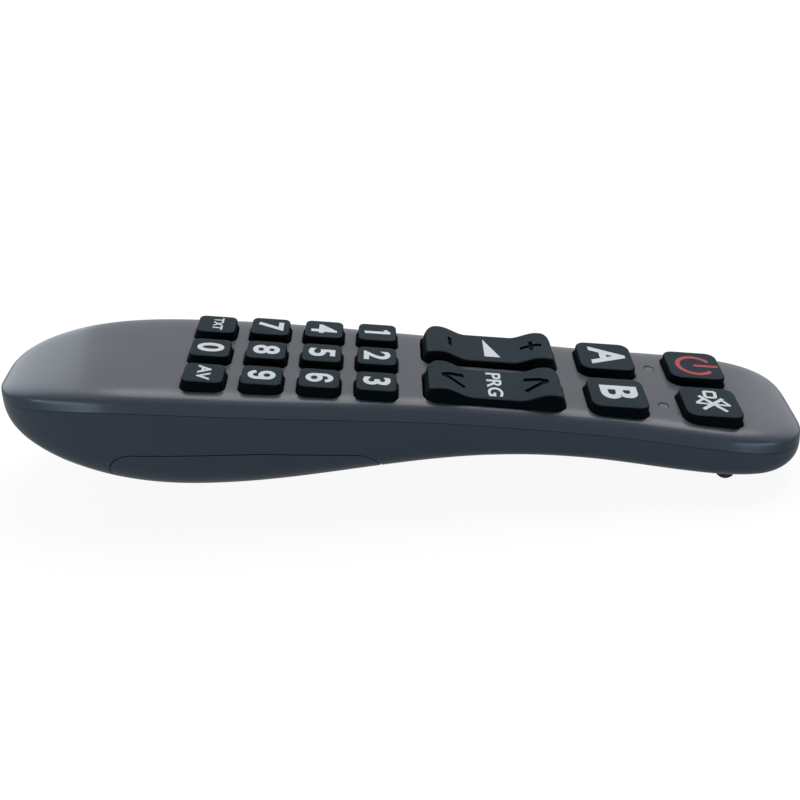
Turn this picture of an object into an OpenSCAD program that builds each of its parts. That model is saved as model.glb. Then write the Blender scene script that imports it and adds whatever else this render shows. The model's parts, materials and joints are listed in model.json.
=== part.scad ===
// Universal remote control with large keys, millimetres, +Z up.
// Origin on the table under the middle of the case; +Y is the front end, +X the right side.

/* [Case] */
// Overall length of the case
case_length = 207; // [200:1:216]
// Width across the rear grip
rear_width = 47.6; // [46.6:0.2:52]
// Width across the waist
waist_width = 41.6; // [41:0.2:45]
// Width across the front end
front_width = 45.4; // [44:0.2:48]
// Height of the deck above the table at the middle of the key field
deck_height = 26.6; // [26:0.2:30]
// Slope of the deck down toward the front, in degrees
deck_tilt = 5.8; // [5:0.1:6.2]
// Fall of the deck's arch 100 mm from its middle
deck_fall = 3; // [2:0.25:3.5]
// Extra drop of the deck at the rear tip
rear_droop = 5.5; // [3:0.5:7]
// Depth of the top case, from the deck to the parting line
skirt_depth = 4.3; // [4:0.1:5]
// Lean of the top case's side, from the parting line in to the deck
skirt_lean = 1.3; // [0.8:0.1:1.6]
// Height of the underside above the table at the waist
waist_rise = 7.4; // [6:0.2:8]
// Height of the underside above the table at the nose
nose_rise = 0.8; // [0.6:0.1:1.4]
// Wall of the two case halves and of the door
wall = 1.6; // [1.4:0.1:1.9]
// Seam between the two case halves
part_gap = 0.2; // [0.1:0.05:0.3]

/* [Keys] */
// Number key at its foot, across
number_w = 9.8; // [9:0.1:10]
// Number key at its foot, along
number_l = 10.4; // [9.6:0.1:10.8]
// Height of the number keys above the deck
number_h = 2.4; // [1.8:0.1:3]
// Spacing of the three number columns
column_pitch = 13.5; // [13:0.1:13.6]
// Spacing of the four number rows
row_pitch = 14.3; // [14:0.1:15]
// First number row, along the deck from its middle
first_row = -10.9; // [-11.5:0.1:-10.9]
// Large square key at its foot, across
large_w = 15.2; // [14:0.1:15.4]
// Large square key at its foot, along
large_l = 15; // [13.6:0.1:15.2]
// Height of the large keys above the deck
large_h = 2.5; // [2:0.1:3.2]
// Large key columns, from the middle of the deck
large_x = 9.9; // [9.8:0.1:10.2]
// Row of the A and B keys along the deck
letter_row = 50.6; // [50.2:0.1:51.4]
// Row of the power and mute keys along the deck
power_row = 75; // [74.5:0.1:76]
// Rocker length along the deck
rocker_l = 35.2; // [34:0.2:37]
// Middle of the rockers along the deck
rocker_row = 19; // [18.6:0.1:19.4]
// Height of a rocker's ends above the deck
rocker_h = 3.8; // [3.4:0.1:4.4]
// Depth of the finger hollow in a rocker
rocker_dip = 2.1; // [1.6:0.1:2.6]
// Clearance between a key and its hole
key_clear = 0.35; // [0.3:0.05:0.5]
// Stroke of a key
key_travel = 1; // [0.7:0.1:1.2]

/* [Battery] */
// Cell diameter
cell_d = 10.5; // [9.5:0.1:10.5]
// Cell length with its button
cell_l = 44.5; // [43:0.5:44.5]
// Height of the door's upper edge above the table
door_top = 15.5; // [14.5:0.5:16.5]
// Where the door's upper edge begins to fall towards the front
door_bend = -36; // [-40:1:-32]
// Fall of the door's upper edge from there to its front corner
door_fall = 2; // [1:0.5:2.5]
// Rear end of the door
door_rear = -75; // [-77:0.5:-74]
// Front end of the door
door_front = -6; // [-7:0.5:-5]
// Corner radius of the door's outline
door_corner = 7; // [6:0.5:8]
// Seam around the door
door_gap = 0.3; // [0.25:0.05:0.4]

/* [Electronics] */
// Circuit board thickness
board_t = 1.2; // [1:0.1:1.6]
// Keypad mat thickness
mat_t = 2.2; // [2.1:0.1:2.6]
// Diameter of the infrared diode
diode_d = 5; // [4:0.5:5]

/* [Hidden] */
$fn = 64;
half = case_length / 2;
// Where the outline starts to close in toward each tip
rear_y = -50;
front_y = half - 28.5;
// How square the outline closes in: 2 is an ellipse
rear_bow = 2.75;
front_bow = 3.3;
// Where the grip starts to narrow to the waist, and the waist to widen to the front
grip_y = -45;
waist_y = 20;
waist_end = 45;
front_full = 85;
// Lowest point of the belly, highest point of the waist, lowest point of the nose
belly_y = -53;
waist_low = 29;
nose_y = half - 12.5;
// Depth of the flat worn into the belly so that it rests on a face
belly_flat = 0.15;
// Middle of the key field
deck_y = 4;
stations = 44;
steps = 16;
tip = 0.9995;
eps = 0.05;
fit = 0.1;

function clamp01(t) = min(1, max(0, t));
function blend(a, b, y) = let (t = clamp01((y - a) / (b - a))) t * t * (3 - 2 * t);
function cap(s, q) = pow(max(0, 1 - pow(clamp01(s), q)), 1 / q);
function rear_s(y, t) = (rear_y - y) / (rear_y + half - t);
function front_s(y, t) = (y - front_y) / (half - t - front_y);
function belly_s(y, t) = (belly_y - y) / (belly_y + half - t);
function nose_s(y, t) = (y - nose_y) / (half - t - nose_y);

// Half width of the case at the parting line, inset by t
function mid_w(y) = rear_width / 2 + (waist_width - rear_width) / 2 * blend(grip_y, waist_y, y)
    + (front_width - waist_width) / 2 * blend(waist_end, front_full, y);
function half_w(y, t) = (mid_w(y) - t) * cap(rear_s(y, t), rear_bow) * cap(front_s(y, t), front_bow);

// Top of the deck, parting line and underside along the case
function top_z(y) = deck_height - tan(deck_tilt) * (y - deck_y)
    - deck_fall * pow((y - deck_y) / 100, 2) - rear_droop * pow(clamp01(rear_s(y, 0)), 3);
function part_z(y) = top_z(y) - skirt_depth;
function low_z(y) = waist_rise * blend(belly_y, waist_low, y)
    + (nose_rise - waist_rise) * blend(waist_low, nose_y, y) - belly_flat;
function rise(y, t) = (skirt_depth - t) * cap(rear_s(y, t), 6) * cap(front_s(y, t), 4.5);
function sink(y, t) = (part_z(y) - low_z(y) - t) * cap(belly_s(y, t), 2) * cap(nose_s(y, t), 2);

// Underside of the case on its middle line
function under_z(y) = part_z(y) - sink(y, 0);

// How far the side leans in at height w above the parting line
function lean(w) = skirt_lean * max(0, w) / skirt_depth;

function signed_pow(c, q) = sign(c) * pow(abs(c), q);
function section(h, y, z, d, n, up, gap) = [for (k = [0 : steps])
    let (a = 180 * k / steps, w = max(gap, d * pow(abs(sin(a)), 2 / n)))
    [h * signed_pow(cos(a), 2 / n) * (1 - 2 * lean(up * w) / waist_width), y, z + up * w]];
function closed_section(h, y, z, d, n, up, gap, lip) = lip > 0
    ? concat([[h, y, z - up * lip]], section(h, y, z, d, n, up, gap), [[-h, y, z - up * lip]])
    : section(h, y, z, d, n, up, gap);
function reversed(f) = [for (i = [len(f) - 1 : -1 : 0]) f[i]];

// One half of the case as a solid: up = 1 above the parting line, up = -1 below it
module half_body(t, up, gap, lip) {
    m = steps + 1 + (lip > 0 ? 2 : 0);
    rings = [for (i = [0 : stations]) let (y = -(half - t) * cos(180 * i / stations), e = y * tip)
        closed_section(half_w(e, t), y, part_z(e), up > 0 ? rise(e, t) : sink(e, t), up > 0 ? 8 : 3.3,
            up, gap, lip)];
    skin = [for (i = [0 : stations - 1]) for (k = [0 : m - 2]) for (f = [0 : 1])
        let (a = i * m + k, b = a + 1, c = b + m, d = a + m) f == 0 ? [a, b, c] : [a, c, d]];
    base = [for (i = [0 : stations - 1]) let (a = i * m) [a, a + m, a + 2 * m - 1, a + m - 1]];
    rear = [for (k = [m - 1 : -1 : 0]) k];
    front = [for (k = [0 : m - 1]) stations * m + k];
    faces = concat(skin, base, [rear], [front]);
    polyhedron([for (r = rings) for (p = r) p], up > 0 ? faces : [for (f = faces) reversed(f)], 6);
}

// Deck frame: x across, y along the deck, z out of it
module deck() {
    translate([0, deck_y, deck_height])
        rotate([-deck_tilt, 0, 0])
            children();
}
function deck_w(v) = -deck_fall * pow(v * cos(deck_tilt) / 100, 2) * cos(deck_tilt);
// A deck point's place in the frame of the part
function deck_py(v, w) = deck_y + v * cos(deck_tilt) + w * sin(deck_tilt);
function deck_pz(v, w) = deck_height - v * sin(deck_tilt) + w * cos(deck_tilt);

// Levels under the deck, in the deck frame
flange_t = 0.8;
pill_t = 0.4;
mat_top = deck_w(power_row + large_l / 2) - wall - 0.2;
board_top = mat_top - mat_t;
board_low = board_top - board_t;
key_foot = board_top + key_travel + fit + pill_t;
flange_top = key_foot + flange_t;
flange_out = 0.6;
last_row = first_row - 3 * row_pitch;
rocker_angle = 4;
rocker_clear = 0.5;
rocker_round = 3.4;
rocker_crest = rocker_l / 2 - 4.2;
rocker_flat = rocker_crest - 7.5;
axle_r = 1;
axle_w = board_top + axle_r + eps;
number_r = 1.8;
large_r = 3;

// Outline of a rounded rectangle
module rounded(w, l, r) {
    square([w - 2 * r, l], center = true);
    square([w, l - 2 * r], center = true);
    for (x = [-1, 1])
        for (y = [-1, 1])
            translate([x * (w / 2 - r), y * (l / 2 - r)])
                circle(r, $fn = 32);
}
module slab(w, l, r, z, t) {
    translate([0, 0, z])
        linear_extrude(t)
            rounded(w, l, r);
}

// A push key in the deck frame
module push_key(x, v, w, l, r, h) {
    deck()
        translate([x, v, 0]) {
            top = deck_w(v) + h;
            hull() {
                slab(w, l, r, deck_w(v) - 0.8, 0.9);
                slab(w - 0.4, l - 0.4, r, top - 0.6, 0.2);
                slab(w - 1.2, l - 1.2, r - 0.3, top - 0.1, 0.1);
            }
            slab(w - 0.3, l - 0.3, r - 0.1, key_foot + 0.1, deck_w(v) - 0.4 - key_foot);
            slab(w - 0.1, l + 2 * flange_out, r, key_foot, flange_t);
        }
}
module push_pill(x, v, d) {
    deck()
        translate([x, v, key_foot - pill_t])
            cylinder(d = d, h = pill_t);
}
module number_key(c, r) {
    push_key((c - 1) * column_pitch, first_row - r * row_pitch, number_w, number_l, number_r, number_h);
}
module number_pill(c, r) {
    push_pill((c - 1) * column_pitch, first_row - r * row_pitch, 5);
}
module large_key(side, v) {
    push_key(side * large_x, v, large_w, large_l, large_r, large_h);
}
// Top of a rocker above the deck: two rounded ends with a hollow for the finger between them
function rocker_top(t) = let (a = abs(t), e = a - rocker_l / 2 + rocker_round)
    rocker_h - rocker_dip * (1 - blend(rocker_flat, rocker_crest, a))
    - (e > 0 ? rocker_round - sqrt(max(0, pow(rocker_round, 2) - pow(e, 2))) : 0);
module rocker(side) {
    n = 48;
    line = [for (i = [0 : n]) let (t = -rocker_l / 2 * cos(180 * i / n))
        [t, deck_w(rocker_row) + rocker_top(t)]];
    deck()
        translate([side * large_x, rocker_row, 0]) {
            intersection() {
                slab(large_w, rocker_l, large_r, key_foot + 0.2, rocker_h + 10);
                rotate([90, 0, 90])
                    linear_extrude(large_w + 2, center = true)
                        polygon(concat([[-rocker_l / 2, key_foot + 0.1]], line,
                            [[rocker_l / 2, key_foot + 0.1]]));
            }
            slab(large_w - 0.1, rocker_l + 2 * flange_out, large_r, key_foot, flange_t);
            translate([0, 0, axle_w])
                rotate([0, 90, 0])
                    cylinder(r = axle_r, h = large_w - 3, center = true);
        }
}
module rocker_pill(side) {
    for (e = [-1, 1])
        push_pill(side * large_x, rocker_row + e * 11, 5);
}

// Holes that the keys need, at clearance c around a key's foot and e more along it
module key_field(c, e) {
    for (x = [-1 : 1])
        for (r = [0 : 3])
            translate([x * column_pitch, first_row - r * row_pitch])
                rounded(number_w + 2 * c, number_l + 2 * c + 2 * e, number_r + c);
    for (x = [-1, 1]) {
        for (v = [letter_row, power_row])
            translate([x * large_x, v])
                rounded(large_w + 2 * c, large_l + 2 * c + 2 * e, large_r + c);
        translate([x * large_x, rocker_row])
            rounded(large_w + 2 * c, rocker_l + 2 * rocker_clear + 2 * e, large_r + c);
    }
}

// Small parts' places
lamp_x = 9.9;
lamp_row = (letter_row + power_row) / 2 + 0.3;
lamp_d = 2.4;
post_r = 2;
post_rows = [last_row - number_l / 2 - 5.5, first_row + number_l / 2 + 4.2, letter_row - 10, lamp_row];
mat_rear = last_row - number_l / 2 - 2.5;
mat_front = power_row + large_l / 2 + 2.6;
mat_step = first_row + number_l / 2 + 3.4;
mat_rear_w = half_w(deck_py(mat_step, 0), wall) - 0.5;
mat_front_w = waist_width / 2 - wall - 0.6;
board_rear = mat_rear - 6;
board_front = mat_front + 3;
board_w = waist_width / 2 - wall - 1.3;
boss_x = 9;
boss_y = door_rear + 2;
boss_r = 3;
pilot_r = 1.1;
shelf_low = door_top + 0.3;
shelf_t = 1.5;
shelf_top = shelf_low + shelf_t;
cell_x = 5.4;
cell_room = 0.35;
cell_z = shelf_low - cell_room - cell_d / 2;
bay_front = door_front - 10.3;
bay_rear = bay_front - cell_l - 6.5;
bay_w = cell_x + cell_d / 2 + 0.4;
rib_t = 1.3;
plate_t = 0.4;
spring_l = 6.5 - 0.1 - 2 * plate_t;
capacitor_d = 4;
diode_z = 8;
diode_y = half - 0.3;
foot_x = 14;
foot_y = half - 20.1;
foot_r = 2.2;
foot_top = 2.3;
peg_r = 1.45;
hinge_r = 0.9;
hinge_y = door_front - door_gap - 2;
hinge_z = low_z(hinge_y) + hinge_r;
tongue_tip = door_front + 2.4;
tongue_z = low_z(tongue_tip) + wall + 0.5;
tongue_t = 1.3;
latch_y = door_rear + 3.6;
latch_z = door_top - 1;

// Outline of the door in side view, drawn across the whole case
module door_block(inset) {
    corners = [[door_rear + door_corner, 0], [door_bend, 0], [door_front - door_corner, door_fall]];
    rotate([90, 0, 90])
        linear_extrude(rear_width + 10, center = true)
            hull() {
                for (c = corners)
                    translate([c[0], door_top - door_corner - c[1]])
                        circle(door_corner - inset);
                translate([door_rear + inset, -door_top])
                    square([door_front - door_rear - 2 * inset, door_corner]);
            }
}

module top_case() {
    color("dimgray")
        difference() {
            union() {
                difference() {
                    half_body(0, 1, 0, 0);
                    half_body(wall, 1, 0, 2);
                }
                deck()
                    for (v = post_rows)
                        translate([0, v, board_top + eps])
                            cylinder(r = post_r, h = deck_w(v) - wall / 2 - board_top - eps);
                for (x = [-1, 1])
                    translate([x * boss_x, boss_y, shelf_top + eps])
                        cylinder(r = boss_r, h = top_z(boss_y) - wall / 2 - shelf_top - eps);
            }
            deck() {
                translate([0, 0, mat_top - 0.3])
                    linear_extrude(8)
                        key_field(key_clear, 0);
                for (x = [-1, 1])
                    translate([x * lamp_x, lamp_row, mat_top])
                        cylinder(d = lamp_d + 0.2, h = 8);
                for (v = post_rows)
                    translate([0, v, board_top - 1])
                        cylinder(r = 0.85, h = 4.5);
            }
            for (x = [-1, 1])
                translate([x * boss_x, boss_y, shelf_low])
                    cylinder(r = pilot_r, h = 11);
            translate([0, half - 9, diode_z])
                rotate([-90, 0, 0])
                    cylinder(d = diode_d + 0.6, h = 20);
        }
}

module bottom_case() {
    color("slategray")
        difference() {
            union() {
                difference() {
                    half_body(0, -1, part_gap, 0);
                    half_body(wall, -1, 0, 2);
                    door_block(0);
                }
                difference() {
                    intersection() {
                        half_body(wall * 0.5, -1, 0, 0);
                        translate([-40, door_rear - 3, shelf_low])
                            cube([80, door_front - door_rear + 7, shelf_t]);
                    }
                    for (x = [-1, 1])
                        translate([x * cell_x - 1.6, bay_front - 0.7, shelf_low - 1])
                            cube([3.2, 1.1, 4]);
                }
                for (x = [-1, 1])
                    translate([x * (bay_w + rib_t / 2) - rib_t / 2, bay_rear - rib_t, cell_z - 3])
                        cube([rib_t, bay_front - bay_rear + 2 * rib_t, shelf_low + 0.5 - cell_z + 3]);
                translate([-4, latch_y - 0.8 - rib_t, latch_z - 1.1])
                    cube([8, rib_t, shelf_low + 0.5 - latch_z + 1.1]);
                for (y = [bay_rear - rib_t, bay_front])
                    translate([-bay_w - eps, y, cell_z - 4])
                        cube([2 * bay_w + 2 * eps, rib_t, shelf_low + 0.5 - cell_z + 4]);
                difference() {
                    for (t = [0.3, 0.7])
                        translate([-bay_w - eps, bay_rear + t * (bay_front - bay_rear), cell_z + 2])
                            cube([2 * bay_w + 2 * eps, rib_t, shelf_low + 0.5 - cell_z - 2]);
                    for (x = [-1, 1])
                        translate([x * cell_x, bay_rear, cell_z])
                            rotate([-90, 0, 0])
                                cylinder(d = cell_d + 0.2, h = bay_front - bay_rear);
                }
            }
            for (x = [-1, 1]) {
                translate([x * boss_x, boss_y, shelf_low - 1])
                    cylinder(r = pilot_r + 0.2, h = 4);
                translate([x * foot_x, foot_y, -1])
                    cylinder(r = foot_r + fit, h = foot_top + 1);
                translate([x * foot_x, foot_y, -1])
                    cylinder(r = peg_r + eps, h = 8);
            }
            translate([0, half - 9, diode_z])
                rotate([-90, 0, 0])
                    cylinder(d = diode_d + 0.6, h = 20);
        }
}

module battery_door() {
    color("darkslategray")
        difference() {
            union() {
                difference() {
                    intersection() {
                        half_body(0, -1, part_gap, 0);
                        door_block(door_gap);
                    }
                    half_body(wall, -1, 0, 2);
                }
                translate([0, hinge_y, hinge_z])
                    rotate([0, 90, 0])
                        cylinder(r = hinge_r, h = 16, center = true);
                for (x = [-6, 6]) {
                    translate([x - 2, hinge_y - 2, tongue_z])
                        cube([4, tongue_tip - hinge_y + 2, tongue_t]);
                    translate([x - 2, hinge_y - 2, hinge_z])
                        cube([4, 3.2, tongue_z - hinge_z + 0.5]);
                }
                for (t = [0.3, 0.7]) {
                    y = bay_rear + t * (bay_front - bay_rear);
                    z = max(under_z(y), under_z(y + rib_t)) + wall * 0.6;
                    translate([-bay_w + 1, y, z])
                        cube([2 * bay_w - 2, rib_t, cell_z - cell_d / 2 - 0.2 - z]);
                }
                translate([-3, latch_y, under_z(latch_y) + wall * 0.6])
                    cube([6, 1.2, latch_z - under_z(latch_y) - wall * 0.6]);
                translate([-3, latch_y - 0.6, latch_z - 1])
                    cube([6, 1.2, 1]);
            }
            translate([-40, -half, -20])
                cube([80, case_length, 20]);
        }
}

module keypad_mat() {
    color("black")
        deck()
            difference() {
                translate([0, 0, board_top])
                    linear_extrude(mat_t)
                        difference() {
                            union() {
                                translate([0, (mat_rear + mat_step) / 2])
                                    rounded(2 * mat_rear_w, mat_step - mat_rear, 4);
                                translate([0, (mat_rear + 12 + mat_front) / 2])
                                    rounded(2 * mat_front_w, mat_front - mat_rear - 12, 6);
                            }
                            key_field(0.3, flange_out);
                            for (v = post_rows)
                                translate([0, v])
                                    circle(post_r + 0.3);
                            for (x = [-1, 1])
                                translate([x * lamp_x, lamp_row])
                                    circle(d = lamp_d + 1.4);
                        }
            }
}

module circuit_board() {
    color("darkgoldenrod")
        deck()
            translate([0, 0, board_low])
                linear_extrude(board_t)
                    difference() {
                        translate([0, (board_rear + board_front) / 2])
                            rounded(2 * board_w, board_front - board_rear, 7);
                        for (v = post_rows)
                            translate([0, v])
                                circle(r = 1.1);
                    }
}

module key_1() {
    color("black") number_key(0, 0);
}
module key_2() {
    color("black") number_key(1, 0);
}
module key_3() {
    color("black") number_key(2, 0);
}
module key_4() {
    color("black") number_key(0, 1);
}
module key_5() {
    color("black") number_key(1, 1);
}
module key_6() {
    color("black") number_key(2, 1);
}
module key_7() {
    color("black") number_key(0, 2);
}
module key_8() {
    color("black") number_key(1, 2);
}
module key_9() {
    color("black") number_key(2, 2);
}
module key_txt() {
    color("black") number_key(0, 3);
}
module key_0() {
    color("black") number_key(1, 3);
}
module key_av() {
    color("black") number_key(2, 3);
}
module key_a() {
    color("black") large_key(-1, letter_row);
}
module key_b() {
    color("black") large_key(1, letter_row);
}
module key_power() {
    color("black") large_key(-1, power_row);
}
module key_mute() {
    color("black") large_key(1, power_row);
}
module rocker_volume() {
    color("black") rocker(-1);
}
module rocker_program() {
    color("black") rocker(1);
}
module pill_1() {
    color("gray") number_pill(0, 0);
}
module pill_2() {
    color("gray") number_pill(1, 0);
}
module pill_3() {
    color("gray") number_pill(2, 0);
}
module pill_4() {
    color("gray") number_pill(0, 1);
}
module pill_5() {
    color("gray") number_pill(1, 1);
}
module pill_6() {
    color("gray") number_pill(2, 1);
}
module pill_7() {
    color("gray") number_pill(0, 2);
}
module pill_8() {
    color("gray") number_pill(1, 2);
}
module pill_9() {
    color("gray") number_pill(2, 2);
}
module pill_txt() {
    color("gray") number_pill(0, 3);
}
module pill_0() {
    color("gray") number_pill(1, 3);
}
module pill_av() {
    color("gray") number_pill(2, 3);
}
module pill_a() {
    color("gray") push_pill(-large_x, letter_row, 6);
}
module pill_b() {
    color("gray") push_pill(large_x, letter_row, 6);
}
module pill_power() {
    color("gray") push_pill(-large_x, power_row, 6);
}
module pill_mute() {
    color("gray") push_pill(large_x, power_row, 6);
}
module pills_volume() {
    color("gray") rocker_pill(-1);
}
module pills_program() {
    color("gray") rocker_pill(1);
}

// Infrared diode in the nose, its two legs bent up to the board
module ir_diode() {
    r = diode_d / 2;
    leg_y = min(deck_py(board_front - 1.2, board_low), diode_y - r - 6.3);
    leg_z = deck_pz((leg_y - deck_py(0, board_low)) / cos(deck_tilt), board_low);
    color("lavender") {
        translate([0, diode_y - r, diode_z])
            sphere(r);
        translate([0, diode_y - r, diode_z])
            rotate([90, 0, 0])
                cylinder(r = r, h = 5.5);
        translate([0, diode_y - r - 4.6, diode_z])
            rotate([90, 0, 0])
                cylinder(r = r + 0.25, h = 1);
        for (x = [-1.27, 1.27]) {
            translate([x - 0.25, leg_y - 0.25, diode_z - 0.25])
                cube([0.5, diode_y - r - 5 - leg_y, 0.5]);
            translate([x - 0.25, leg_y - 0.25, diode_z - 0.25])
                cube([0.5, 0.5, leg_z - diode_z + 0.2]);
        }
    }
}

module indicator_lenses() {
    color("lightgray")
        deck()
            for (x = [-1, 1])
                translate([x * lamp_x, lamp_row, mat_top + 0.1]) {
                    cylinder(d = lamp_d, h = deck_w(lamp_row) - 0.2 - mat_top - 0.1);
                    cylinder(d = lamp_d + 1.2, h = deck_w(lamp_row) - wall - 0.2 - mat_top - 0.1);
                }
}
module indicator_lamps() {
    color("ivory")
        deck()
            for (x = [-1, 1])
                translate([x * lamp_x - 0.8, lamp_row - 1, board_top])
                    cube([1.6, 2, mat_t - 0.3]);
}
module control_chip() {
    color("black")
        deck()
            translate([-4, letter_row - 1, board_low - 2.2])
                cube([8, 10.4, 2.2]);
}
module resonator() {
    color("orange")
        deck()
            translate([7, letter_row + 2, board_low - 4.5])
                cube([3, 7, 4.5]);
}
module capacitor() {
    color("navy")
        deck()
            translate([-10, letter_row, board_low - capacitor_d / 2 - eps])
                rotate([-90, 0, 0])
                    cylinder(d = capacitor_d, h = 7);
}
module drive_transistor() {
    color("black")
        deck()
            translate([2, power_row - 2, board_low - 1.1])
                cube([2.9, 1.6, 1.1]);
}
module chip_resistors() {
    color("black")
        deck()
            for (i = [0 : 3])
                translate([-12 + 2.4 * i, power_row - 8, board_low - 0.5])
                    cube([1.2, 2, 0.5]);
}

// A battery spring: wire rings, each a little smaller than the one before
module spring(l, dir) {
    turns = 7;
    for (i = [0 : turns])
        translate([0, dir * (0.4 + i * (l - 0.8) / turns), 0])
            rotate([90, 0, 0])
                rotate_extrude()
                    translate([3.4 - 0.12 * i, 0])
                        circle(0.5, $fn = 24);
}
module contact_plate(y) {
    translate([-4, y, cell_z - 3.6])
        cube([8, plate_t, 7.2]);
}
module contact_tail() {
    translate([-1, bay_front - plate_t, cell_z])
        cube([2, plate_t, deck_pz(0, board_low) + (deck_y - bay_front) * tan(deck_tilt) - 0.2 - cell_z]);
}
module positive_contact() {
    color("silver")
        translate([-cell_x, 0, 0]) {
            contact_plate(bay_front - plate_t);
            contact_tail();
        }
}
module negative_contact() {
    color("silver")
        translate([cell_x, 0, 0]) {
            contact_plate(bay_front - plate_t);
            contact_tail();
            translate([0, bay_front - plate_t + eps, cell_z])
                spring(spring_l, -1);
        }
}
module link_contact() {
    color("silver") {
        for (x = [-1, 1])
            translate([x * cell_x, 0, 0])
                contact_plate(bay_rear);
        translate([-cell_x, bay_rear, cell_z - 2])
            cube([2 * cell_x, plate_t, 4]);
        translate([-cell_x, bay_rear + plate_t - eps, cell_z])
            spring(spring_l, 1);
    }
}
module cell(dir) {
    rotate([-90 * dir, 0, 0]) {
        translate([0, 0, -cell_l / 2])
            cylinder(d = cell_d, h = cell_l - 1);
        translate([0, 0, cell_l / 2 - 1.1])
            cylinder(d = 3.8, h = 1.1);
    }
}
module cell_1() {
    color("seagreen")
        translate([-cell_x, bay_front - plate_t - eps - cell_l / 2, cell_z])
            cell(1);
}
module cell_2() {
    color("seagreen")
        translate([cell_x, bay_rear + plate_t + eps + cell_l / 2, cell_z])
            cell(-1);
}
module case_screws() {
    color("silver")
        for (x = [-1, 1])
            translate([x * boss_x, boss_y, shelf_low])
                difference() {
                    union() {
                        translate([0, 0, -1.5])
                            cylinder(r = 2.3, h = 1.5);
                        translate([0, 0, -eps])
                            cylinder(r = pilot_r - eps, h = 10);
                    }
                    for (a = [0, 90])
                        rotate([0, 0, a])
                            translate([-1.3, -0.25, -1.6])
                                cube([2.6, 0.5, 0.9]);
                }
}
module board_screws() {
    color("silver")
        deck()
            for (v = post_rows)
                translate([0, v, board_low])
                    difference() {
                        union() {
                            translate([0, 0, -1.3])
                                cylinder(r = 1.9, h = 1.3);
                            translate([0, 0, -eps])
                                cylinder(r = 0.8, h = board_t + 3);
                        }
                        for (a = [0, 90])
                            rotate([0, 0, a])
                                translate([-1.1, -0.2, -1.4])
                                    cube([2.2, 0.4, 0.8]);
                    }
}
module front_feet() {
    color("black")
        for (x = [-1, 1])
            translate([x * foot_x, foot_y, 0])
                rotate_extrude()
                    polygon([[0, 0], [foot_r - 0.6, 0], [foot_r, 0.6], [foot_r, foot_top - eps],
                        [peg_r, foot_top - eps], [peg_r, foot_top + wall], [0, foot_top + wall]]);
}

top_case();
bottom_case();
battery_door();
keypad_mat();
circuit_board();
key_1();
key_2();
key_3();
key_4();
key_5();
key_6();
key_7();
key_8();
key_9();
key_txt();
key_0();
key_av();
key_a();
key_b();
key_power();
key_mute();
rocker_volume();
rocker_program();
pill_1();
pill_2();
pill_3();
pill_4();
pill_5();
pill_6();
pill_7();
pill_8();
pill_9();
pill_txt();
pill_0();
pill_av();
pill_a();
pill_b();
pill_power();
pill_mute();
pills_volume();
pills_program();
ir_diode();
indicator_lenses();
indicator_lamps();
control_chip();
resonator();
capacitor();
drive_transistor();
chip_resistors();
positive_contact();
negative_contact();
link_contact();
cell_1();
cell_2();
case_screws();
board_screws();
front_feet();
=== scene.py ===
"""Looks of a universal remote control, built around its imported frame.

Sizes are in millimetres in the part's own frame, x across, y along the case with the
front at +y and z up, and become metres where a mesh is made.
"""

import json
import math

import bmesh
import bpy
import numpy as np
from mathutils import Matrix


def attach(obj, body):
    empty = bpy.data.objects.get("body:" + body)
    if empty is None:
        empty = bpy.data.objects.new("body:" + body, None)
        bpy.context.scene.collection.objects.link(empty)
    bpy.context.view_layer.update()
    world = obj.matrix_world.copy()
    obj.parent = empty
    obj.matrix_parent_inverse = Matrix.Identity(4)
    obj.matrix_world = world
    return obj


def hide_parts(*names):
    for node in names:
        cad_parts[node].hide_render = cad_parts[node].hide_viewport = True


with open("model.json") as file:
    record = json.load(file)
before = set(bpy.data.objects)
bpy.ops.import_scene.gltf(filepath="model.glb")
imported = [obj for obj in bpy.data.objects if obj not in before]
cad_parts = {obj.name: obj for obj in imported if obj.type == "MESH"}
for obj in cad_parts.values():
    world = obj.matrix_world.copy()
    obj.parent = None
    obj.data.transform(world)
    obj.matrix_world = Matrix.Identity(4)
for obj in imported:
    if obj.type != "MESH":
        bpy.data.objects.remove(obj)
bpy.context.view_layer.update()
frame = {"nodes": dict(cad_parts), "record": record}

MM = 0.001
PHOTO = 800

# Case, as in the part's source
HALF = 103.5
REAR_W, WAIST_W, FRONT_W = 23.8, 20.8, 22.7
REAR_BOW, FRONT_BOW = 2.75, 3.3
REAR_Y, FRONT_Y, BELLY_Y, NOSE_Y = -50.0, 75.0, -53.0, 91.0
GRIP_Y, WAIST_Y, WAIST_END, FRONT_FULL, WAIST_LOW = -45.0, 20.0, 45.0, 85.0, 29.0
DECK_Y, DECK_Z, TILT, FALL, DROOP = 4.0, 26.6, math.radians(5.8), 3.0, 5.5
SKIRT, WAIST_RISE, NOSE_RISE, BELLY_FLAT, WALL = 4.3, 7.4, 0.8, 0.15, 1.6
UPPER_N, LOWER_N = 8.0, 3.3
DECK_REAR_BOW, DECK_FRONT_BOW, KEEL_BOW = 6.0, 4.5, 2.0
LEAN = 1.3
# Sections stop just short of the two tips, where their size is zero
TIP = 1 - 2e-6
PART_GAP = 0.06
BITE = WALL * 0.6

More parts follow.
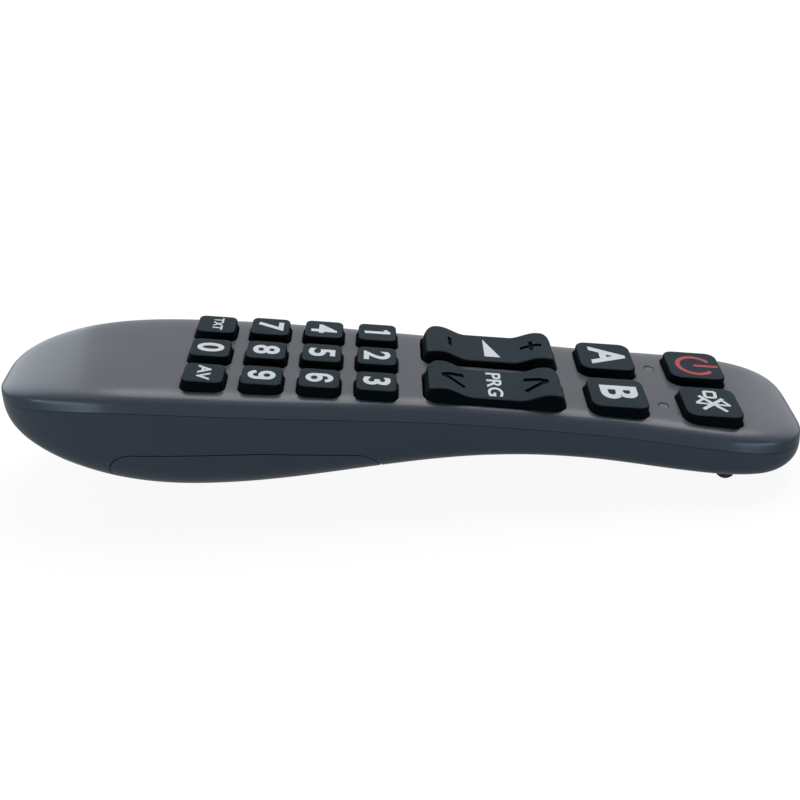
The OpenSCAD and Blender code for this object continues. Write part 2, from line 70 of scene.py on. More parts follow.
# Door in the belly
DOOR_REAR, DOOR_FRONT, DOOR_TOP, DOOR_CORNER, DOOR_GAP = -75.0, -6.0, 15.5, 7.0, 0.3
DOOR_BEND, DOOR_FALL = -36.0, 2.0
DOOR_TRIM, SEAM_LOW = 0.03, 0.1
HINGE_Y, HINGE_Z, HINGE_R, HINGE_W = -8.3, 4.949, 0.9, 8.0
HINGE_LIFT, HINGE_CHAMFER = 0.3, 0.2
TONGUE_X, TONGUE_W, TONGUE_T, TONGUE_REACH, TONGUE_CLEAR = 6.0, 2.0, 1.3, 2.4, 0.5
TONGUE_REAR, TONGUE_FRONT, TONGUE_LAP = HINGE_Y - 2, HINGE_Y + 1.2, 0.5
LATCH_Y, LATCH_Z, LATCH_W, LATCH_T, HOOK, HOOK_H = -71.4, 14.5, 3.0, 1.2, 0.6, 1.0

# Keys
COLUMN, ROW, FIRST_ROW = 13.5, 14.3, -10.9
NUMBER = dict(w=9.8, l=10.4, r=1.8, h=2.4)
LARGE = dict(w=15.2, l=15.0, r=3.0, h=2.5)
LARGE_X, LETTER_ROW, POWER_ROW = 9.9, 50.6, 75.0
ROCKER_L, ROCKER_ROW, ROCKER_H, ROCKER_DIP, ROCKER_ROUND = 35.2, 19.0, 3.8, 2.1, 3.4
ROCKER_CREST = ROCKER_L / 2 - 4.2
ROCKER_FLAT = ROCKER_CREST - 7.5
KEY_CLEAR, ROCKER_CLEAR, EDGE_ROLL = 0.35, 0.5, 0.35
HOLE_DEPTH, HOLE_FLARE, HOLE_RISE = 6.0, 0.25, 3.0
KEY_FOOT, KEY_DRAFT, KEY_RIDGE = -4.5, 0.15, 0.4
KEY_FILLET, ROCKER_FILLET = 0.42, 0.6
ROCKER_STEPS = 72
# Faces of a key that point less upward than this take the painted shade of its sides
SHADE_BELOW_NORMAL_Z = 0.7
GROOVE_ACROSS, GROOVE_ALONG, GROOVE_DEPTH = 1.0, 1.45, 0.5

# Indicator windows and infrared diode
LAMP_X, LAMP_ROW, LAMP_D = 9.9, 63.1, 2.4
WINDOW = ((0.1, -5), (0.1, -0.25), (0.2, -0.1), (0.45, 0.1), (0.45, 2))
DIODE_Z, DIODE_D, DIODE_CLEAR, DIODE_REACH = 8.0, 5.0, 0.3, 9.0

# Posts over the board and bosses over the bay
POST_ROWS, BOARD_TOP = (-64.5, -1.5, 40.6, LAMP_ROW), -6.0
POST_R, POST_BORE, POST_BORE_H = 2.0, 0.85, 3.0
BOSS_X, BOSS_Y, BOSS_R, BOSS_BORE, BOSS_BORE_TOP = 9.0, -73.0, 3.0, 1.1, 24.0
FOOT_CHAMFER = 0.15

# Battery bay
SHELF_LOW, SHELF_TOP = 15.8, 17.3
SHELF_REAR, SHELF_FRONT = DOOR_REAR - 3, DOOR_FRONT + 4
CELL_X, CELL_Z, CELL_D, CELL_CLEAR = 5.4, 10.2, 10.5, 0.1
BAY_REAR, BAY_FRONT, BAY_W, RIB = -67.3, -16.3, 11.05, 1.3
RIB_TOP, SIDE_RIB_DROP, END_RIB_DROP, END_RIB_W = SHELF_LOW + 0.5, 3.0, 4.0, BAY_W + 0.02
CRADLE_SHARES, CRADLE_RISE = (0.3, 0.7), 2.0
DOOR_RIB_W, DOOR_RIB_TOP = BAY_W - 1, CELL_Z - CELL_D / 2 - 0.2
CATCH_Y, CATCH_W, CATCH_DROP = LATCH_Y - 0.8, 4.0, 1.1
LIP_OUTER, LIP_INNER, LIP_DROP, LIP_RISE, LIP_SHARE = 1.25, 1.75, 1.2, 0.9, 0.9995


# Shape of the case


def blend(a, b, y):
    t = np.clip((y - a) / (b - a), 0, 1)
    return t * t * (3 - 2 * t)


def cap(s, q):
    return np.maximum(0, 1 - np.clip(s, 0, 1) ** q) ** (1 / q)


def end_shares(y, t):
    """How far y is into the rear, front, belly and nose ends of the case inset by t."""
    return (
        (REAR_Y - y) / (REAR_Y + HALF - t),
        (y - FRONT_Y) / (HALF - t - FRONT_Y),
        (BELLY_Y - y) / (BELLY_Y + HALF - t),
        (y - NOSE_Y) / (HALF - t - NOSE_Y),
    )


def half_w(y, t):
    rear, front, _, _ = end_shares(y, t)
    mid = REAR_W + (WAIST_W - REAR_W) * blend(GRIP_Y, WAIST_Y, y)
    mid = mid + (FRONT_W - WAIST_W) * blend(WAIST_END, FRONT_FULL, y)
    return (mid - t) * cap(rear, REAR_BOW) * cap(front, FRONT_BOW)


def part_z(y):
    rear = np.clip((REAR_Y - y) / (REAR_Y + HALF), 0, 1)
    ahead = y - DECK_Y
    return DECK_Z - math.tan(TILT) * ahead - FALL * (ahead / 100) ** 2 - DROOP * rear**3 - SKIRT


def low_z(y):
    rise = WAIST_RISE * blend(BELLY_Y, WAIST_LOW, y)
    return rise + (NOSE_RISE - WAIST_RISE) * blend(WAIST_LOW, NOSE_Y, y) - BELLY_FLAT


def depth(y, t, up):
    """Reach of the case above (up = 1) or below (up = -1) its parting line."""
    rear, front, belly, nose = end_shares(y, t)
    if up > 0:
        return (SKIRT - t) * cap(rear, DECK_REAR_BOW) * cap(front, DECK_FRONT_BOW)
    return (part_z(y) - low_z(y) - t) * cap(belly, KEEL_BOW) * cap(nose, KEEL_BOW)


def under_z(y):
    return part_z(y) - depth(y, 0, -1)


def section(y, t, up, angles):
    """Points of one cross section at polar angles from the parting line on the +x side."""
    n = UPPER_N if up > 0 else LOWER_N
    c, s = np.cos(angles), np.sin(angles)
    reach = (np.abs(c) ** n + np.abs(s) ** n) ** (-1 / n)
    e = np.clip(y, -(HALF - t) * TIP, (HALF - t) * TIP)
    rise = depth(e, t, up) * s * reach
    lean = LEAN * rise / SKIRT * (up > 0)
    x = half_w(e, t) * c * reach * (1 - lean / WAIST_W)
    return np.stack([x, np.full_like(c, y), np.maximum(part_z(e) + up * rise, t * (up < 0))], 1)


def angle_at(y, t, up, z):
    """Polar angle at which a section passes height z."""
    n = UPPER_N if up > 0 else LOWER_N
    e = np.clip(y, -(HALF - t) * TIP, (HALF - t) * TIP)
    share = np.clip(up * (z - part_z(e)) / depth(e, t, up), 0, 0.999)
    return math.atan2(share, (1 - share**n) ** (1 / n))


def seam_z(y, inset):
    """Height of the door's side seam: flat, then falling to the front, with a round corner at each end."""
    r = DOOR_CORNER - inset
    base = DOOR_TOP - DOOR_CORNER
    rear, front = DOOR_REAR + DOOR_CORNER, DOOR_FRONT - DOOR_CORNER
    corners = ((rear, base), (DOOR_BEND, base), (front, base - DOOR_FALL))
    heights = [z + math.sqrt(max(0, r * r - (y - at) ** 2)) for at, z in corners]
    if rear <= y <= DOOR_BEND:
        heights.append(base + r)
    slope = math.atan2(DOOR_FALL, front - DOOR_BEND)
    along = y - DOOR_BEND - r * math.sin(slope)
    if 0 <= along <= front - DOOR_BEND:
        heights.append(base + r * math.cos(slope) - along * math.tan(slope))
    return max(heights)


# Deck frame: x across, v along the deck, w out of it

DECK = Matrix.Translation((0, DECK_Y, DECK_Z)) @ Matrix.Rotation(-TILT, 4, "X")
DECK_NP = np.array(DECK)


def deck_w(v):
    return -FALL * (v * math.cos(TILT) / 100) ** 2 * math.cos(TILT)


def on_deck(points):
    return np.asarray(points) @ DECK_NP[:3, :3].T + DECK_NP[:3, 3]


# Mesh helpers


def make_mesh(name, points, faces):
    mesh = bpy.data.meshes.new(name)
    mesh.from_pydata((np.asarray(points) * MM).tolist(), [], [list(map(int, f)) for f in faces])
    mesh.validate()
    return mesh


def make_object(name, points, faces):
    obj = bpy.data.objects.new(name, make_mesh(name, points, faces))
    bpy.context.collection.objects.link(obj)
    bm = bmesh.new()
    bm.from_mesh(obj.data)
    loose = [v for v in bm.verts if not v.link_faces]
    bmesh.ops.delete(bm, geom=loose, context="VERTS")
    bmesh.ops.recalc_face_normals(bm, faces=bm.faces)
    bm.to_mesh(obj.data)
    bm.free()
    return obj


def smooth(obj, angle=38):
    obj.data.shade_smooth()
    obj.data.set_sharp_from_angle(angle=math.radians(angle))


def settle(obj):
    """Applies the modifiers of obj to its mesh."""
    graph = bpy.context.evaluated_depsgraph_get()
    mesh = bpy.data.meshes.new_from_object(obj.evaluated_get(graph))
    obj.modifiers.clear()
    obj.data = mesh


def carve(obj, cutter):
    """Cuts cutter out of obj. The cut faces take the cutter's material, where it has one."""
    cut = obj.modifiers.new("carve", "BOOLEAN")
    cut.operation = "DIFFERENCE"
    cut.solver = "EXACT"
    cut.material_mode = "TRANSFER"
    cut.object = cutter
    settle(obj)
    bpy.data.objects.remove(cutter)


def soften(obj, width, segments=2, angle=50):
    edge = obj.modifiers.new("soften", "BEVEL")
    edge.width = width * MM
    edge.segments = segments
    edge.limit_method = "ANGLE"
    edge.angle_limit = math.radians(angle)
    edge.use_clamp_overlap = True
    settle(obj)


def weigh(obj):
    """Keeps flat faces flat beside the rounds that join them."""
    weigher = obj.modifiers.new("weigh", "WEIGHTED_NORMAL")
    weigher.keep_sharp = True


BOX_FACES = ((0, 2, 3, 1), (4, 5, 7, 6), (0, 1, 5, 4), (2, 6, 7, 3), (0, 4, 6, 2), (1, 3, 7, 5))


class Build:
    """Collects points and faces of several closed forms into one mesh."""

    def __init__(self):
        self.points, self.faces = [], []

    def add(self, points, faces):
        start = len(self.points)
        self.points.extend(np.asarray(points, float).tolist())
        self.faces.extend([[start + i for i in f] for f in faces])

    def box(self, low, high):
        (x0, y0, z0), (x1, y1, z1) = low, high
        corners = [(x, y, z) for z in (z0, z1) for y in (y0, y1) for x in (x0, x1)]
        self.add(corners, BOX_FACES)

    def prism(self, outline, lift):
        """A closed outline moved along the vector lift."""
        n = len(outline)
        low = np.asarray(outline, float)
        sides = [(i, (i + 1) % n, n + (i + 1) % n, n + i) for i in range(n)]
        self.add(np.concatenate([low, low + np.asarray(lift)]), [range(n)[::-1], range(n, 2 * n)] + sides)

    def rings(self, rings, halves=None):
        """A skin through rings of the same count, closed at both ends. halves = two lists of
        places along a ring closes the last ring with strips between them."""
        n = len(rings[0])
        last = (len(rings) - 1) * n
        faces = [range(n)[::-1]]
        if halves:
            left, right = halves
            for j in range(len(left) - 1):
                strip = (left[j], left[j + 1], right[j + 1], right[j])
                faces.append([last + i for i in strip])
        else:
            faces.append(range(last, last + n))
        for j in range(len(rings) - 1):
            for i in range(n):
                a, b = j * n + i, j * n + (i + 1) % n
                faces.append((a, b, b + n, a + n))
        self.add(np.concatenate(rings), faces)

    def object(self, name):
        return make_object(name, self.points, self.faces)


def circle(radius, count, axis="z"):
    a = np.linspace(0, 2 * math.pi, count, endpoint=False)
    u, v, o = radius * np.cos(a), radius * np.sin(a), np.zeros(count)
    return np.stack({"z": (u, v, o), "y": (u, o, v), "x": (o, u, v)}[axis], 1)


CORNER = 9


def rounded(w, l, r, long=4):
    """Outline of a rounded rectangle, with `long` more points on each long side."""
    r = min(max(r, 0.02), 0.49 * w)
    points = []
    for sx, sy, start in ((1, 1, 0), (-1, 1, 90), (-1, -1, 180), (1, -1, 270)):
        for a in np.radians(start + np.linspace(0, 90, CORNER)):
            points.append((sx * (w / 2 - r) + r * math.cos(a), sy * (l / 2 - r) + r * math.sin(a)))
        if sx * sy < 0:
            reach = l / 2 - r
            for share in np.linspace(-1, 1, long + 2)[1:-1]:
                points.append((sx * w / 2, sx * share * reach))
    return np.array(points)


def halves_of(long):
    """The two matching halves of a rounded outline, each from its +y end to its -y end."""
    half = 2 * CORNER + long
    left = list(range(CORNER, CORNER + half))
    right = list(range(CORNER - 1, -1, -1)) + list(range(2 * half - 1, 2 * half - 1 - long - CORNER, -1))
    return left, right


def dress(obj, body, material, node=None):
    obj.data.materials.clear()
    obj.data.materials.append(material)
    finish_piece(obj, body, node)


def finish_piece(obj, body, node=None):
    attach(obj, body)
    if node:
        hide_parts(node)


# Materials


def nodes_of(name):
    mat = bpy.data.materials.new(name)
    mat.use_nodes = True
    tree = mat.node_tree
    shader = tree.nodes["Principled BSDF"]
    place = tree.nodes.new("ShaderNodeTexCoord").outputs["Object"]
    return mat, tree, shader, place


def noise(tree, place, size, detail=3.0, rough=0.55):
    """A noise whose features are about `size` millimetres across."""
    node = tree.nodes.new("ShaderNodeTexNoise")
    node.inputs["Scale"].default_value = 1 / (size * MM)
    node.inputs["Detail"].default_value = detail
    node.inputs["Roughness"].default_value = rough
    tree.links.new(place, node.inputs["Vector"])
    return node.outputs["Fac"]


def ramp(tree, fac, stops):
    node = tree.nodes.new("ShaderNodeValToRGB")
    while len(node.color_ramp.elements) < len(stops):
        node.color_ramp.elements.new(0.5)
    for element, (at, colour) in zip(node.color_ramp.elements, stops):
        element.position = at
        element.color = (*colour, 1)
    tree.links.new(fac, node.inputs["Fac"])
    return node.outputs["Color"]


def spread(tree, fac, low, high, start=0.3, end=0.7):
    node = tree.nodes.new("ShaderNodeMapRange")
    for key, value in (("From Min", start), ("From Max", end), ("To Min", low), ("To Max", high)):
        node.inputs[key].default_value = value
    tree.links.new(fac, node.inputs["Value"])
    return node.outputs["Result"]


def mix(tree, fac, a, b):
    node = tree.nodes.new("ShaderNodeMix")
    node.data_type = "RGBA"
    for socket, value in ((node.inputs["Factor"], fac), (node.inputs["A"], a), (node.inputs["B"], b)):
        if isinstance(value, bpy.types.NodeSocket):
            tree.links.new(value, socket)
        elif isinstance(value, tuple):
            socket.default_value = (*value, 1)
        else:
            socket.default_value = value
    return next(o for o in node.outputs if o.type == "RGBA")


def calc(tree, operation, *values):
    """The result of a math node whose values are sockets or numbers."""
    node = tree.nodes.new("ShaderNodeMath")
    node.operation = operation
    for socket, value in zip(node.inputs, values):
        if isinstance(value, bpy.types.NodeSocket):
            tree.links.new(value, socket)
        else:
            socket.default_value = value
    return node.outputs[0]


def bump(tree, shader, height, rise):
    node = tree.nodes.new("ShaderNodeBump")
    node.inputs["Strength"].default_value = 0.6
    node.inputs["Distance"].default_value = rise * MM
    tree.links.new(height, node.inputs["Height"])
    tree.links.new(node.outputs["Normal"], shader.inputs["Normal"])


def scaled(colour, by):
    return tuple(c * by for c in colour)


def moulded(name, colour, rough, grain=0.25, rise=0.02, specular=0.5, vary=0.06, wear=0.0, metallic=0.0):
    """A moulded surface: fine grain, slow colour drift, uneven gloss and pale worn edges."""
    mat, tree, shader, place = nodes_of(name)
    drift = noise(tree, place, 18, 4)
    base = ramp(tree, drift, [(0.3, scaled(colour, 1 - vary)), (0.7, scaled(colour, 1 + vary))])
    fine = noise(tree, place, grain, 2)
    base = mix(tree, spread(tree, fine, 0.0, 0.35), base, scaled(colour, 1 - 2 * vary))
    if wear:
        edge = tree.nodes.new("ShaderNodeNewGeometry").outputs["Pointiness"]
        base = mix(tree, spread(tree, edge, 0.0, wear, 0.52, 0.62), base, scaled(colour, 1.9))
    tree.links.new(base, shader.inputs["Base Color"])
    gloss = noise(tree, place, 9, 5)
    tree.links.new(spread(tree, gloss, rough - 0.015, rough + 0.03), shader.inputs["Roughness"])
    shader.inputs["Specular IOR Level"].default_value = specular
    shader.inputs["Metallic"].default_value = metallic
    bump(tree, shader, fine, rise)
    return mat


def clear(name, colour, rough):
    """Clear resin with a faint swirl."""
    mat, tree, shader, place = nodes_of(name)
    swirl = noise(tree, place, 2.5, 3)
    base = ramp(tree, swirl, [(0.3, scaled(colour, 0.9)), (0.7, colour)])
    tree.links.new(base, shader.inputs["Base Color"])
    tree.links.new(spread(tree, swirl, rough, rough + 0.06), shader.inputs["Roughness"])
    shader.inputs["Transmission Weight"].default_value = 0.85
    shader.inputs["IOR"].default_value = 1.53
    bump(tree, shader, noise(tree, place, 0.6, 2), 0.005)
    return mat


CELL_MIDDLE, BAND_START, BAND_END = -0.041, 0.0095, 0.0099


def cell_wrap(name):
    """A plain cell sleeve: a dark body with a copper-coloured band at the plus end."""
    mat, tree, shader, place = nodes_of(name)
    split = tree.nodes.new("ShaderNodeSeparateXYZ")
    tree.links.new(place, split.inputs["Vector"])
    side = calc(tree, "SIGN", split.outputs["X"])
    along = calc(tree, "MULTIPLY", calc(tree, "ADD", split.outputs["Y"], -CELL_MIDDLE), side)
    band = spread(tree, along, 0.0, 1.0, BAND_START, BAND_END)
    print_grain = noise(tree, place, 0.4, 2)
    dark = ramp(tree, print_grain, [(0.3, (0.018, 0.02, 0.024)), (0.7, (0.03, 0.033, 0.038))])
    copper = ramp(tree, print_grain, [(0.3, (0.42, 0.2, 0.09)), (0.7, (0.52, 0.27, 0.13))])
    tree.links.new(mix(tree, band, dark, copper), shader.inputs["Base Color"])
    tree.links.new(spread(tree, band, 0.28, 0.36, 0, 1), shader.inputs["Roughness"])
    tree.links.new(spread(tree, band, 0.0, 0.7, 0, 1), shader.inputs["Metallic"])
    bump(tree, shader, print_grain, 0.004)
    return mat


def laminate(name):
    """Brown paper laminate with a faint fibre."""
    mat, tree, shader, place = nodes_of(name)
    fibre = noise(tree, place, 0.8, 5, 0.7)
    sheet = ramp(tree, fibre, [(0.3, (0.24, 0.14, 0.05)), (0.7, (0.36, 0.23, 0.1))])
    drift = noise(tree, place, 12, 3)
    base = mix(tree, spread(tree, drift, 0, 0.5), sheet, (0.27, 0.16, 0.06))
    tree.links.new(base, shader.inputs["Base Color"])
    tree.links.new(spread(tree, drift, 0.34, 0.46), shader.inputs["Roughness"])
    bump(tree, shader, fibre, 0.01)
    return mat


CASE = (0.118, 0.122, 0.142)
RUBBER = (0.043, 0.056, 0.064)
SILICONE = dict(grain=0.3, vary=0.08)
INK = dict(rough=0.5, grain=0.35, rise=0.006, specular=0.3)
STEEL = dict(grain=0.2, rise=0.006, metallic=1.0)
case_mat = moulded("case_plastic", CASE, 0.21, grain=0.22, rise=0.005, specular=0.18, vary=0.03, wear=0.08)
rubber_mat = moulded("key_rubber", RUBBER, 0.55, rise=0.02, specular=0.01, wear=0.1, **SILICONE)
# Painted shade: the sides of keys are the key rubber darkened to 16 %, for the shade on them
shaded_side_mat = moulded("key_side_painted_shade", scaled(RUBBER, 0.16), 0.6, rise=0.02, specular=0.01, **SILICONE)
# Painted shade: the grooves in the rockers are the key rubber darkened to 6 %, for the shade in them
groove_shade_mat = moulded("key_groove_painted_shade", scaled(RUBBER, 0.06), 0.7, rise=0.01, specular=0.02, **SILICONE)
inks = {
    "legend_white": moulded("legend_white", (0.76, 0.775, 0.79), vary=0.03, **INK),
    "legend_red": moulded("legend_red", (0.44, 0.022, 0.036), vary=0.06, **INK),
}
finishes = {
    "case_plastic": case_mat,
    "key_rubber": rubber_mat,
    "board_laminate": laminate("board_laminate"),
    "clear_epoxy": clear("clear_epoxy", (0.78, 0.8, 0.9), 0.05),
    "contact_steel": moulded("contact_steel", (0.66, 0.65, 0.62), 0.28, vary=0.04, **STEEL),
    "cell_wrap": cell_wrap("cell_wrap"),
    "screw_steel": moulded("screw_steel", (0.5, 0.5, 0.52), 0.3, vary=0.05, **STEEL),
}
# Slot, colour, roughness, grain, rise and colour drift of the plain mouldings
for slot, colour, rough, grain, rise, vary in (
    ("contact_carbon", (0.012, 0.012, 0.013), 0.6, 0.15, 0.01, 0.1),
    ("lens_plastic", (0.075, 0.078, 0.09), 0.22, 0.5, 0.004, 0.05),
    ("lamp_white", (0.72, 0.7, 0.55), 0.3, 0.3, 0.004, 0.04),
    ("chip_black", (0.014, 0.014, 0.015), 0.55, 0.18, 0.015, 0.1),
    ("resonator_ceramic", (0.5, 0.2, 0.04), 0.4, 0.3, 0.008, 0.08),
    ("capacitor_sleeve", (0.012, 0.02, 0.06), 0.35, 0.4, 0.006, 0.1),
    ("foot_rubber", (0.011, 0.011, 0.012), 0.7, 0.25, 0.02, 0.1),
):
    finishes[slot] = moulded(slot, colour, rough, grain, rise, vary=vary)


# Case shells


LIP = ((0.1, 0.0), (0.03, 0.025), (0.0, 0.1))
PAD = len(LIP) - 1
INNER_DROP = 0.15
SECTION_STEPS = {0: (84,), 2: (26, 22, 26)}
DOOR_STEPS = 56
REAR_STEPS, FRONT_STEPS, TOP_STEPS = 30, 75, 150


def ring_angles(first, breaks):
    """Angles of one section from `first` past the parting line on one side to the other,
    with SECTION_STEPS between the break angles."""
    marks = [first] + breaks + [math.pi - first]
    steps = SECTION_STEPS[len(breaks)]
    out = [np.linspace(marks[i], marks[i + 1], steps[i] + 1)[:-1] for i in range(len(steps))]
    return np.concatenate(out + [[marks[-1]]])


def shell_grid(stations, t, up, lip, breaks_at):
    """Grid of points of a shell's skin: one row per station, with a rounded lip at both edges."""
    rows = []
    for y in stations:
        e = np.clip(y, -(HALF - t) * TIP, (HALF - t) * TIP)
        first = angle_at(y, t, up, part_z(e) + up * (lip[-1][1] if lip else 0.001))
        rows.append(section(y, t, up, ring_angles(first, breaks_at(y, t))))
    grid = np.array(rows)
    if not lip:
        return grid
    edge = grid[:, 0, :2]
    step = np.gradient(edge, axis=0)
    out = np.stack([step[:, 1], -step[:, 0]], 1)
    out /= np.maximum(np.linalg.norm(out, axis=1), 1e-9)[:, None]
    e = np.clip(stations, -HALF * TIP, HALF * TIP)
    level = part_z(e) - PART_GAP * (up < 0)
    sides = []
    for inset, z in lip[:-1]:
        x = np.maximum(edge[:, 0] - inset * out[:, 0], 0.02)
        sides.append(np.stack([x, edge[:, 1] - inset * out[:, 1], level + up * z], 1))
    near = np.stack(sides, 1)
    far = near[:, ::-1] * np.array([-1, 1, 1])
    return np.concatenate([near, grid, far], 1)


def two_skins(rows, cols, is_open=None):
    """Faces of two skins of the same grid, the second after the first, and of the walls between
    them along the first and last columns. is_open says which faces to leave out."""
    n = rows * cols
    faces = []
    for i in range(rows - 1):
        for k in range(cols - 1):
            if is_open and is_open(i, k):
                continue
            a, d = i * cols + k, (i + 1) * cols + k
            faces += [(a, a + 1, d + 1, d), (n + d, n + d + 1, n + a + 1, n + a)]
    for k in (0, cols - 1):
        faces += wall([i * cols + k for i in range(rows)], n)
    return faces


def wall(line, n):
    """Faces between a line of points and the same line n points later."""
    return [(a, b, n + b, n + a) for a, b in zip(line, line[1:])]


def shell(name, outer, inner, hole=None):
    """A closed shell between two grids. hole = (first row, last row, first column, last column)
    leaves those faces out of both skins and walls the opening."""
    rows, cols = outer.shape[:2]
    n = rows * cols

    def is_open(i, k):
        return hole and hole[0] <= i < hole[1] and hole[2] <= k < hole[3]

    faces = two_skins(rows, cols, is_open)
    for i in (0, rows - 1):
        ring = [i * cols + k for k in range(cols)]
        faces += [ring, [n + k for k in ring], (ring[0], ring[-1], n + ring[-1], n + ring[0])]
    if hole:
        i0, i1, k0, k1 = hole
        for k in (k0, k1):
            faces += wall([i * cols + k for i in range(i0, i1 + 1)], n)
        for i in (i0, i1):
            faces += wall([i * cols + k for k in range(k0, k1 + 1)], n)
    return make_object(name, np.concatenate([outer.reshape(-1, 3), inner.reshape(-1, 3)]), faces)


def padded(grid):
    """An inner grid with its edge columns repeated to match the lip of the outer one."""
    return np.concatenate([grid[:, :1]] * PAD + [grid] + [grid[:, -1:]] * PAD, 1)


def no_breaks(*_):
    return []


def top_shell():
    share = np.linspace(0, math.pi, TOP_STEPS + 1)
    outer = shell_grid(-HALF * np.cos(share), 0, 1, LIP, no_breaks)
    inner = padded(shell_grid(-(HALF - WALL) * np.cos(share), WALL, 1, None, no_breaks))
    for j in range(PAD):
        drop = INNER_DROP * (PAD - j) / len(LIP)
        inner[:, j, 2] -= drop
        inner[:, -1 - j, 2] -= drop
    return shell("top_shell", outer, inner)


def key_places():
    """(x, v, width, length, corner, clearance along v) of every key's hole."""
    number = (NUMBER["w"], NUMBER["l"], NUMBER["r"], KEY_CLEAR)
    large = (LARGE["w"], LARGE["l"], LARGE["r"], KEY_CLEAR)
    rocker = (LARGE["w"], ROCKER_L, LARGE["r"], ROCKER_CLEAR)
    places = [(col * COLUMN, FIRST_ROW - row * ROW, *number) for row in range(4) for col in (-1, 0, 1)]
    for side in (-1, 1):
        places += [(side * LARGE_X, v, *large) for v in (LETTER_ROW, POWER_ROW)]
        places.append((side * LARGE_X, ROCKER_ROW, *rocker))
    return places


def key_hole(x, v, w, l, r, clear_v):
    """Rings of a cutter for a key's hole, which flares into a rounded edge at the deck."""
    turns = np.radians((0, 30, 60, 82))
    roll = [(EDGE_ROLL * (1 - math.cos(a)), -EDGE_ROLL * (1 - math.sin(a))) for a in turns]
    wide = EDGE_ROLL + HOLE_FLARE
    rings = []
    for grow, rise in [(0, -HOLE_DEPTH)] + roll + [(wide, HOLE_FLARE), (wide, HOLE_RISE)]:
        gap = KEY_CLEAR + grow
        points = rounded(w + 2 * gap, l + 2 * (clear_v + grow), r + gap) + np.array([x, v])
        rings.append(on_deck(np.column_stack([points, deck_w(points[:, 1]) + rise])))
    return rings


def deck_cutters():
    """One cutter for the holes of all keys and of the two indicator windows."""
    cut = Build()
    for place in key_places():
        cut.rings(key_hole(*place))
    for side in (-1, 1):
        rings = []
        for grow, rise in WINDOW:
            middle = np.array([side * LAMP_X, LAMP_ROW, deck_w(LAMP_ROW) + rise])
            rings.append(on_deck(circle(LAMP_D / 2 + grow, 40) + middle))
        cut.rings(rings)
    return cut.object("deck_cutters")


def diode_cutter():
    cut = Build()
    ends = (HALF - DIODE_REACH, HALF + DIODE_REACH)
    cut.rings([circle(DIODE_D / 2 + DIODE_CLEAR, 48, "y") + np.array([0, y, DIODE_Z]) for y in ends])
    return cut.object("diode_cutter")


def post_profile(bore, bore_top, low, radius, high):
    """(radius, height) of a hollow post: down its bore, over its chamfered foot and up its outside."""
    foot = ((radius - FOOT_CHAMFER, low), (radius, low + FOOT_CHAMFER))
    return ((bore, bore_top), (bore, low), *foot, (radius, high))


def make_top():
    top = top_shell()
    carve(top, deck_cutters())
    carve(top, diode_cutter())
    smooth(top, 34)
    weigh(top)
    dress(top, "case", case_mat, "top_case")
    posts = Build()
    for v in POST_ROWS:
        profile = post_profile(POST_BORE, BOARD_TOP + POST_BORE_H, BOARD_TOP, POST_R, deck_w(v) - WALL / 2)
        posts.rings([on_deck(circle(r, 32) + np.array([0, v, w])) for r, w in profile])
    high = float(part_z(BOSS_Y)) + SKIRT - WALL / 2
    profile = post_profile(BOSS_BORE, BOSS_BORE_TOP, SHELF_TOP, BOSS_R, high)
    for x in (-BOSS_X, BOSS_X):
        posts.rings([circle(r, 40) + np.array([x, BOSS_Y, z]) for r, z in profile])
    posts = posts.object("case_posts")
    smooth(posts)
    dress(posts, "case", case_mat, "top_case")


def door_stations(inset):
    """Stations along the door, close together round its corners."""
    r = DOOR_CORNER - inset
    bend = np.radians(np.linspace(0, 90, 15))
    rear = DOOR_REAR + inset + r * (1 - np.cos(bend))
    front = DOOR_FRONT - inset - r * (1 - np.cos(bend[::-1]))
    middle = np.linspace(rear[-1], front[0], 24)[1:-1]
    stations = np.concatenate([rear, middle, front])
    stations[-1] -= DOOR_TRIM
    return stations


def seam_angle(y, t, inset):
    """Angle at which the section at y meets the door's seam, or its edge where inset is the gap."""
    return angle_at(y, t, -1, max(seam_z(y, inset), float(under_z(y)) + t + SEAM_LOW))


def bottom_breaks(y, t):
    """The door's seam in the section at y, or at the nearest end of the door."""
    a = seam_angle(min(max(y, DOOR_REAR), DOOR_FRONT - DOOR_TRIM), t, 0)
    return [a, math.pi - a]


def bottom_stations(reach, middle):
    """Stations along a bottom skin of half length reach, close together at its tips and round the door."""
    rear = np.sin(np.radians(np.linspace(90, 0, REAR_STEPS + 1)[:-1]))
    front = np.sin(np.radians(np.linspace(0, 90, FRONT_STEPS + 1)[1:]))
    start, end = DOOR_REAR, middle[-1]
    return np.concatenate([start - (reach + start) * rear, middle, end + (reach - end) * front])


def make_bottom():
    middle = door_stations(0)
    outer = shell_grid(bottom_stations(HALF, middle), 0, -1, LIP, bottom_breaks)
    inner = padded(shell_grid(bottom_stations(HALF - WALL, middle), WALL, -1, None, bottom_breaks))
    for j in range(PAD):
        rise = PART_GAP / 2 * (j + 1) / PAD
        inner[:, PAD - 1 - j, 2] += rise
        inner[:, -PAD + j, 2] += rise
    inner[:, :, 2] -= PART_GAP
    side, across, _ = SECTION_STEPS[2]
    hole = (REAR_STEPS, REAR_STEPS + len(middle) - 1, PAD + side, PAD + side + across)
    bottom = shell("bottom_shell", outer, inner, hole)
    carve(bottom, diode_cutter())
    smooth(bottom, 34)
    dress(bottom, "case", case_mat, "bottom_case")


def cradle_places():
    return [BAY_REAR + share * (BAY_FRONT - BAY_REAR) for share in CRADLE_SHARES]


